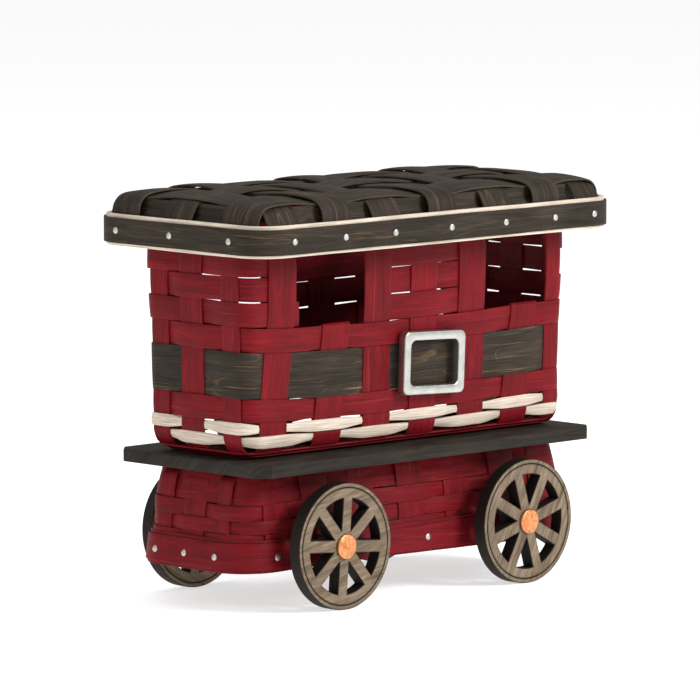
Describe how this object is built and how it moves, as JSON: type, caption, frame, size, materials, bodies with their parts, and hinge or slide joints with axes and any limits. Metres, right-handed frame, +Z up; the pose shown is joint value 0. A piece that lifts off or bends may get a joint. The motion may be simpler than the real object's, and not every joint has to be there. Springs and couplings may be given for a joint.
{
  "type": "woven carriage basket",
  "caption": "Lidded basket in the form of a small railway carriage, woven from flat wood splints, with window openings, a belt and buckle, a board, and four spoked wheels.",
  "frame": {"origin": "middle of the four wheels' footprint, on the surface that the wheels stand on", "axes": "+X along the carriage, -Y the side with the buckle, +Z up"},
  "size_m": [0.2554, 0.1266, 0.2069],
  "materials": {
    "red_splint": "satin red stain over straight wood grain",
    "dark_splint": "thin dark brown-grey stain, grain and streaks show through",
    "natural_splint": "bare pale splint",
    "dark_plywood": "dark stain, matt, scorched cut edges",
    "weathered_plywood": "grey-brown wash on the faces, charred laser-cut edges",
    "plain_wood": "bare sanded wood",
    "copper": "plain domed copper, slightly mottled",
    "polished_nickel": "satin nickel face, polished sides",
    "tack_steel": "bright steel"
  },
  "bodies": {
    "carriage": {"chassis_cross_stakes": "red_splint", "chassis_long_stakes": "red_splint", "chassis_weaver_1": "red_splint", "chassis_weaver_2": "red_splint", "chassis_weaver_3": "red_splint", "chassis_weaver_4": "red_splint", "chassis_rim_inner": "red_splint", "chassis_rim_hoop": "red_splint", "chassis_rim_band": "red_splint", "car_cross_stakes": "red_splint", "car_long_stakes": "red_splint", "base_strip": "red_splint", "body_weaver": "red_splint", "sill_weaver": "red_splint", "end_panel_left": "red_splint", "end_panel_right": "red_splint", "centre_panel_front": "red_splint", "centre_panel_back": "red_splint", "car_rim_outer": "red_splint", "car_rim_inner": "red_splint", "belt_weaver": "dark_splint", "trim_weaver_lower": "natural_splint", "trim_weaver_upper": "natural_splint", "platform_board": "dark_plywood", "axle_blocks": "plain_wood", "axle_left": "plain_wood", "axle_right": "plain_wood", "axle_spacers": "plain_wood", "hub_caps": "copper", "belt_buckle": "polished_nickel", "chassis_rim_tacks": "tack_steel", "car_rim_tacks": "tack_steel", "body_screws": "tack_steel"},
    "lid": {"lid_band": "dark_splint", "lid_hoop": "natural_splint", "lid_cross_splints": "dark_splint", "lid_long_splints": "dark_splint", "lid_side_weavers": "dark_splint", "lid_cleats": "plain_wood", "lid_tacks": "tack_steel"},
    "wheel_front_left": {"wheel_front_left": "weathered_plywood"},
    "wheel_front_right": {"wheel_front_right": "weathered_plywood"},
    "wheel_back_left": {"wheel_back_left": "weathered_plywood"},
    "wheel_back_right": {"wheel_back_right": "weathered_plywood"}
  },
  "joints": [
    {"name": "lid_lift", "type": "slide", "parent": "carriage", "child": "lid", "axis": [0, 0, 1], "range_m": [0, 0.08]},
    {"name": "front_left_spin", "type": "hinge", "parent": "carriage", "child": "wheel_front_left", "pos_m": [-0.0649, 0, 0.03175], "axis": [0, 1, 0], "continuous": true},
    {"name": "front_right_spin", "type": "hinge", "parent": "carriage", "child": "wheel_front_right", "pos_m": [0.0649, 0, 0.03175], "axis": [0, 1, 0], "continuous": true},
    {"name": "back_left_spin", "type": "hinge", "parent": "carriage", "child": "wheel_back_left", "pos_m": [-0.0649, 0, 0.03175], "axis": [0, 1, 0], "continuous": true},
    {"name": "back_right_spin", "type": "hinge", "parent": "carriage", "child": "wheel_back_right", "pos_m": [0.0649, 0, 0.03175], "axis": [0, 1, 0], "continuous": true}
  ]
}
